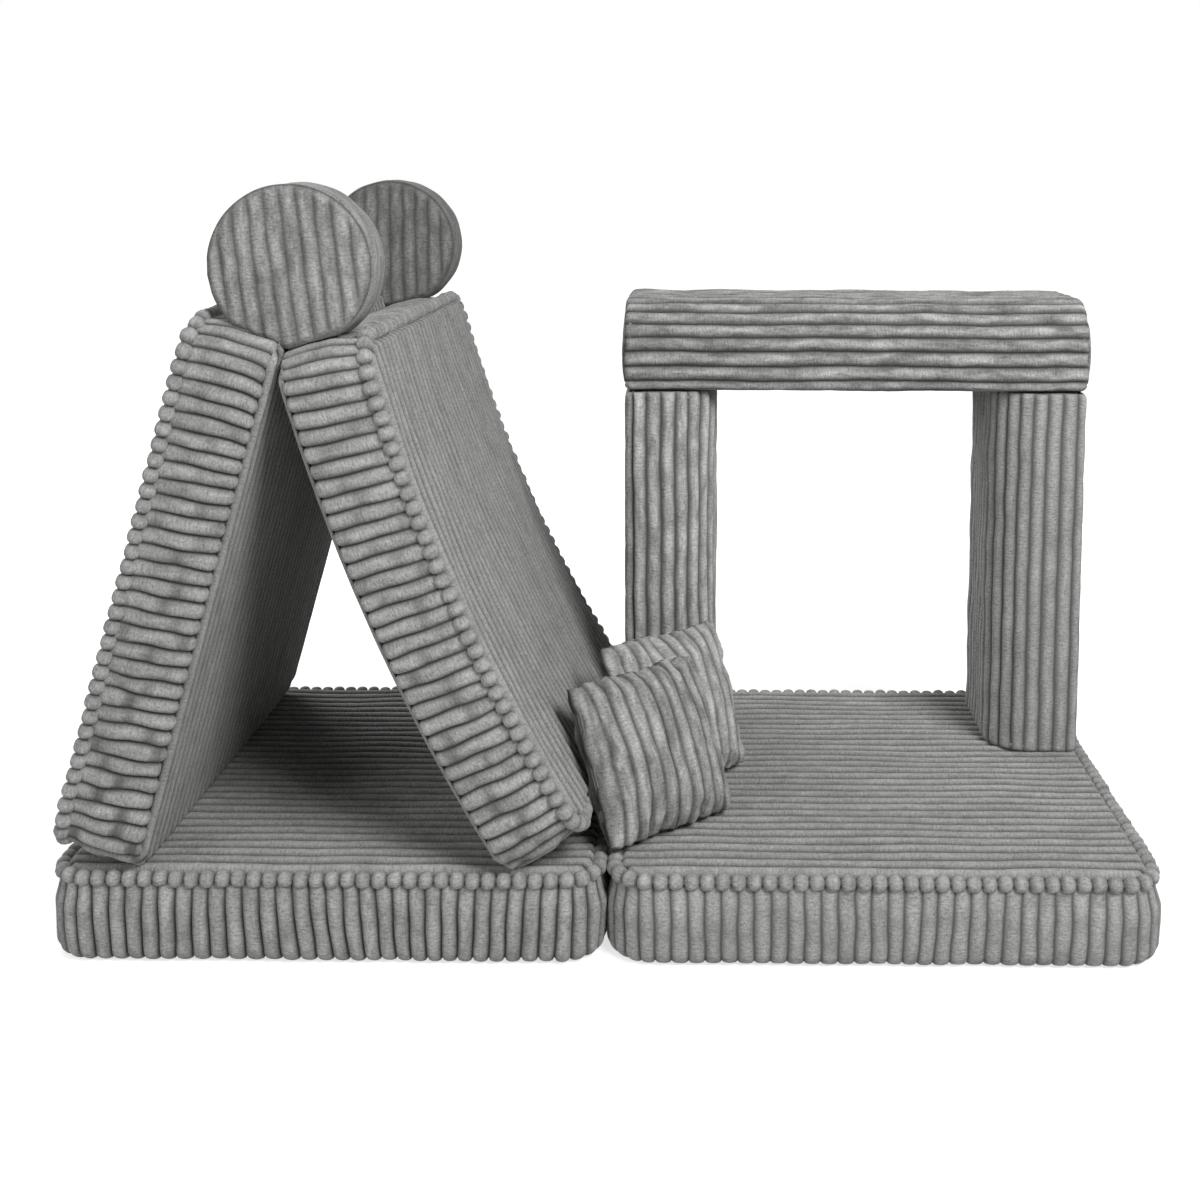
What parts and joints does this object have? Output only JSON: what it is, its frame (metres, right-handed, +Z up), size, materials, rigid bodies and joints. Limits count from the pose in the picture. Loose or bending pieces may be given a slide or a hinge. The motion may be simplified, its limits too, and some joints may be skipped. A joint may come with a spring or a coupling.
{
  "type": "modular foam play sofa",
  "caption": "Soft foam modules in ribbed plush for building play furniture, set out as a tent with discs on its ridge beside a mattress with a doorway and pillows.",
  "frame": {"origin": "on the floor, under the middle of the whole set's box", "axes": "+Z is up; +X runs from the tent to the doorway; -Y is the front, where the picture is taken from"},
  "size_m": [1.6002, 0.82, 1.1099],
  "materials": {
    "plush": "short-pile wide-wale ribbed plush",
    "foam": "open-cell upholstery foam",
    "fibre": "loose fibre filling",
    "coil": "coil zip chain",
    "enamel": "enamelled zip slider"
  },
  "bodies": {
    "seat_left": {"seat_left_boxing": "plush", "seat_left_top_panel": "plush", "seat_left_beaded_piping": "plush", "seat_left_foam_core": "foam", "seat_left_zip_chain": "coil"},
    "seat_left_slider": {"seat_left_zip_slider": "enamel"},
    "seat_right": {"seat_right_boxing": "plush", "seat_right_top_panel": "plush", "seat_right_beaded_piping": "plush", "seat_right_foam_core": "foam", "seat_right_zip_chain": "coil"},
    "seat_right_slider": {"seat_right_zip_slider": "enamel"},
    "tent_left": {"tent_left_boxing": "plush", "tent_left_top_panel": "plush", "tent_left_beaded_piping": "plush", "tent_left_foam_core": "foam", "tent_left_zip_chain": "coil"},
    "tent_left_slider": {"tent_left_zip_slider": "enamel"},
    "tent_right": {"tent_right_boxing": "plush", "tent_right_top_panel": "plush", "tent_right_beaded_piping": "plush", "tent_right_foam_core": "foam", "tent_right_zip_chain": "coil"},
    "tent_right_slider": {"tent_right_zip_slider": "enamel"},
    "post_left": {"post_left_cover": "plush", "post_left_end_panel": "plush", "post_left_foam_core": "foam", "post_left_zip_chain": "coil"},
    "post_left_slider": {"post_left_zip_slider": "enamel"},
    "post_right": {"post_right_cover": "plush", "post_right_end_panel": "plush", "post_right_foam_core": "foam", "post_right_zip_chain": "coil"},
    "post_right_slider": {"post_right_zip_slider": "enamel"},
    "lintel": {"lintel_cover": "plush", "lintel_end_panel": "plush", "lintel_foam_core": "foam", "lintel_zip_chain": "coil"},
    "lintel_slider": {"lintel_zip_slider": "enamel"},
    "disc_front": {"disc_front_cover": "plush", "disc_front_back_panel": "plush", "disc_front_foam_core": "foam", "disc_front_zip_chain": "coil"},
    "disc_front_slider": {"disc_front_zip_slider": "enamel"},
    "disc_back": {"disc_back_cover": "plush", "disc_back_back_panel": "plush", "disc_back_foam_core": "foam", "disc_back_zip_chain": "coil"},
    "disc_back_slider": {"disc_back_zip_slider": "enamel"},
    "pillow_front": {"pillow_front_front_panel": "plush", "pillow_front_back_panel": "plush", "pillow_front_filling": "fibre", "pillow_front_zip_chain": "coil"},
    "pillow_front_slider": {"pillow_front_zip_slider": "enamel"},
    "pillow_back": {"pillow_back_front_panel": "plush", "pillow_back_back_panel": "plush", "pillow_back_filling": "fibre", "pillow_back_zip_chain": "coil"},
    "pillow_back_slider": {"pillow_back_zip_slider": "enamel"}
  },
  "joints": [
    {"name": "seat_right_away", "type": "slide", "parent": "seat_left", "child": "seat_right", "axis": [1, 0, 0], "range_m": [0, 0.5]},
    {"name": "tent_left_forward", "type": "slide", "parent": "seat_left", "child": "tent_left", "axis": [0, -1, 0], "range_m": [0, 0.85]},
    {"name": "tent_right_forward", "type": "slide", "parent": "seat_left", "child": "tent_right", "axis": [0, -1, 0], "range_m": [0, 0.85]},
    {"name": "disc_front_lift", "type": "slide", "parent": "tent_left", "child": "disc_front", "axis": [0, 0, 1], "range_m": [0, 0.3]},
    {"name": "disc_back_lift", "type": "slide", "parent": "tent_left", "child": "disc_back", "axis": [0, 0, 1], "range_m": [0, 0.3]},
    {"name": "post_left_back", "type": "slide", "parent": "seat_right", "child": "post_left", "axis": [0, 1, 0], "range_m": [0, 0.6]},
    {"name": "post_right_back", "type": "slide", "parent": "seat_right", "child": "post_right", "axis": [0, 1, 0], "range_m": [0, 0.6]},
    {"name": "lintel_lift", "type": "slide", "parent": "seat_right", "child": "lintel", "axis": [0, 0, 1], "range_m": [0, 0.4]},
    {"name": "pillow_back_lift", "type": "slide", "parent": "seat_right", "child": "pillow_back", "axis": [0, 0, 1], "range_m": [0, 0.35]},
    {"name": "pillow_front_lift", "type": "slide", "parent": "pillow_back", "child": "pillow_front", "axis": [0, 0, 1], "range_m": [0, 0.35]},
    {"name": "seat_left_zip", "type": "slide", "parent": "seat_left", "child": "seat_left_slider", "axis": [0, -1, 0], "range_m": [0, 0.53]},
    {"name": "seat_right_zip", "type": "slide", "parent": "seat_right", "child": "seat_right_slider", "axis": [0, 1, 0], "range_m": [0, 0.53]},
    {"name": "tent_left_zip", "type": "slide", "parent": "tent_left", "child": "tent_left_slider", "axis": [0, 1, 0], "range_m": [0, 0.53]},
    {"name": "tent_right_zip", "type": "slide", "parent": "tent_right", "child": "tent_right_slider", "axis": [0, -1, 0], "range_m": [0, 0.53]},
    {"name": "post_left_zip", "type": "slide", "parent": "post_left", "child": "post_left_slider", "axis": [0, 0, 1], "range_m": [0, 0.37]},
    {"name": "post_right_zip", "type": "slide", "parent": "post_right", "child": "post_right_slider", "axis": [0, 0, 1], "range_m": [0, 0.37]},
    {"name": "lintel_zip", "type": "slide", "parent": "lintel", "child": "lintel_slider", "axis": [1, 0, 0], "range_m": [0, 0.37]},
    {"name": "disc_front_zip", "type": "hinge", "parent": "disc_front", "child": "disc_front_slider", "pos_m": [-0.42963, -0.3, 0.99487], "axis": [0, 1, 0], "range_deg": [0, 66]},
    {"name": "disc_back_zip", "type": "hinge", "parent": "disc_back", "child": "disc_back_slider", "pos_m": [-0.42963, 0.36, 0.99487], "axis": [0, 1, 0], "range_deg": [0, 66]},
    {"name": "pillow_front_zip", "type": "slide", "parent": "pillow_front", "child": "pillow_front_slider", "axis": [-0.2722, 0.3023, 0.9135], "range_m": [0, 0.14]},
    {"name": "pillow_back_zip", "type": "slide", "parent": "pillow_back", "child": "pillow_back_slider", "axis": [-0.2289, 0.2542, 0.9397], "range_m": [0, 0.14]}
  ]
}
